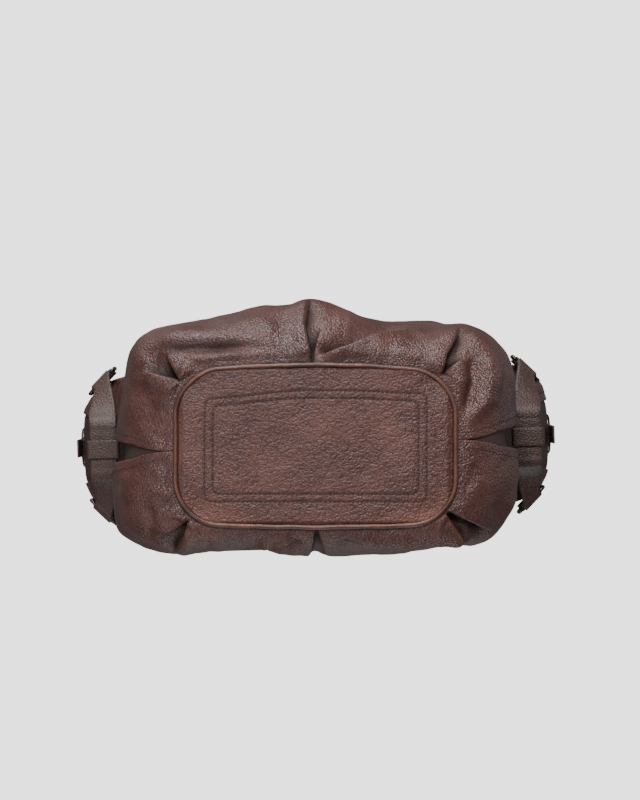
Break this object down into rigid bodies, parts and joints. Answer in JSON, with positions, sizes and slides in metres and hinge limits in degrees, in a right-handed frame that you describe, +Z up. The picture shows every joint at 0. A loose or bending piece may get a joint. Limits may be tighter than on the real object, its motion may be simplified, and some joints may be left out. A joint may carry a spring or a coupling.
{
  "type": "hobo bag",
  "caption": "Slouchy pebbled-leather shoulder bag with a piped flat base, belted V gussets on square rings, an open curved mouth and one shoulder strap.",
  "frame": {"origin": "middle of the base panel's underside, on the surface the bag stands on", "axes": "+Z up, +X along the bag to its right end seen from the front, -Y towards the fuller front"},
  "size_m": [0.435, 0.215, 0.4801],
  "materials": {
    "bag_leather": "pebbled dark brown leather, semi-gloss",
    "trim_leather": "smooth dark brown leather, satin, edges painted",
    "piping_leather": "dark brown leather worn to tan on its crown",
    "stiffener_board": "fibreboard",
    "lining_cloth": "brown cotton twill",
    "zip_tape_cloth": "woven tape",
    "strap_filler": "bonded foam",
    "dark_metal": "polished gunmetal plate",
    "zip_metal": "antique nickel"
  },
  "bodies": {
    "bag": {"base_panel": "bag_leather", "front_panel": "bag_leather", "back_panel": "bag_leather", "left_gusset": "bag_leather", "right_gusset": "bag_leather", "base_piping": "piping_leather", "base_board": "stiffener_board", "mouth_facing": "trim_leather", "mouth_binding": "trim_leather", "lining": "lining_cloth", "zip_pocket_bag": "lining_cloth", "zip_tape": "zip_tape_cloth", "zip_teeth": "zip_metal", "zip_stops": "zip_metal", "snap_stud": "dark_metal", "snap_socket": "dark_metal", "snap_washers": "zip_metal", "left_belt": "trim_leather", "left_handle_chape": "trim_leather", "front_left_chape": "trim_leather", "back_left_chape": "trim_leather", "right_belt": "trim_leather", "right_handle_chape": "trim_leather", "front_right_chape": "trim_leather", "back_right_chape": "trim_leather"},
    "strap": {"handle_filler": "strap_filler", "handle_outer": "trim_leather", "handle_backing": "trim_leather", "handle_screws": "dark_metal", "left_handle_loop": "trim_leather", "right_handle_loop": "trim_leather"},
    "left_strap_ring": {"left_handle_ring": "dark_metal"},
    "right_strap_ring": {"right_handle_ring": "dark_metal"},
    "left_keeper_band": {"left_keeper": "trim_leather"},
    "right_keeper_band": {"right_keeper": "trim_leather"},
    "pocket_slider": {"zip_slider": "dark_metal"},
    "pocket_puller": {"zip_puller": "dark_metal"},
    "front_left_square_ring": {"front_left_ring": "dark_metal"},
    "back_left_square_ring": {"back_left_ring": "dark_metal"},
    "front_right_square_ring": {"front_right_ring": "dark_metal"},
    "back_right_square_ring": {"back_right_ring": "dark_metal"}
  },
  "joints": [
    {"name": "strap_swing", "type": "hinge", "parent": "bag", "child": "strap", "pos_m": [0, 0, 0.267], "axis": [0.9996, -0.0297, 0], "range_deg": [-105, 105]},
    {"name": "left_strap_ring_turn", "type": "hinge", "parent": "bag", "child": "left_strap_ring", "pos_m": [-0.20941, 0.00622, 0.267], "axis": [0.9996, -0.0297, 0], "continuous": true},
    {"name": "right_strap_ring_turn", "type": "hinge", "parent": "bag", "child": "right_strap_ring", "pos_m": [0.20941, -0.00622, 0.267], "axis": [0.9996, -0.0297, 0], "continuous": true},
    {"name": "front_left_ring_swing", "type": "hinge", "parent": "bag", "child": "front_left_square_ring", "pos_m": [-0.18462, -0.05316, 0.174], "axis": [-0.6858, 0.7278, 0], "range_deg": [-15, 25], "deforming": ["left_belt"]},
    {"name": "back_left_ring_swing", "type": "hinge", "parent": "bag", "child": "back_left_square_ring", "pos_m": [-0.18296, 0.06017, 0.174], "axis": [0.7278, 0.6858, 0], "range_deg": [-15, 25], "deforming": ["left_belt"]},
    {"name": "front_right_ring_swing", "type": "hinge", "parent": "bag", "child": "front_right_square_ring", "pos_m": [0.18115, -0.06402, 0.174], "axis": [-0.7278, -0.6858, 0], "range_deg": [-15, 25], "deforming": ["right_belt"]},
    {"name": "back_right_ring_swing", "type": "hinge", "parent": "bag", "child": "back_right_square_ring", "pos_m": [0.18621, 0.04921, 0.174], "axis": [0.6858, -0.7278, 0], "range_deg": [-15, 25], "deforming": ["right_belt"]},
    {"name": "left_keeper_slide", "type": "slide", "parent": "bag", "child": "left_keeper_band", "axis": [0.0297, 0.9996, 0], "range_m": [-0.004, 0.004]},
    {"name": "right_keeper_slide", "type": "slide", "parent": "bag", "child": "right_keeper_band", "axis": [0.0297, 0.9996, 0], "range_m": [-0.004, 0.004]},
    {"name": "pocket_zip_slide", "type": "slide", "parent": "bag", "child": "pocket_slider", "axis": [0.9996, -0.0297, 0], "range_m": [-0.1446, 0]},
    {"name": "pocket_puller_swing", "type": "hinge", "parent": "pocket_slider", "child": "pocket_puller", "pos_m": [0.07415, 0.06132, 0.16202], "axis": [-0.0111, -0.374, 0.9274], "range_deg": [0, 180]}
  ]
}
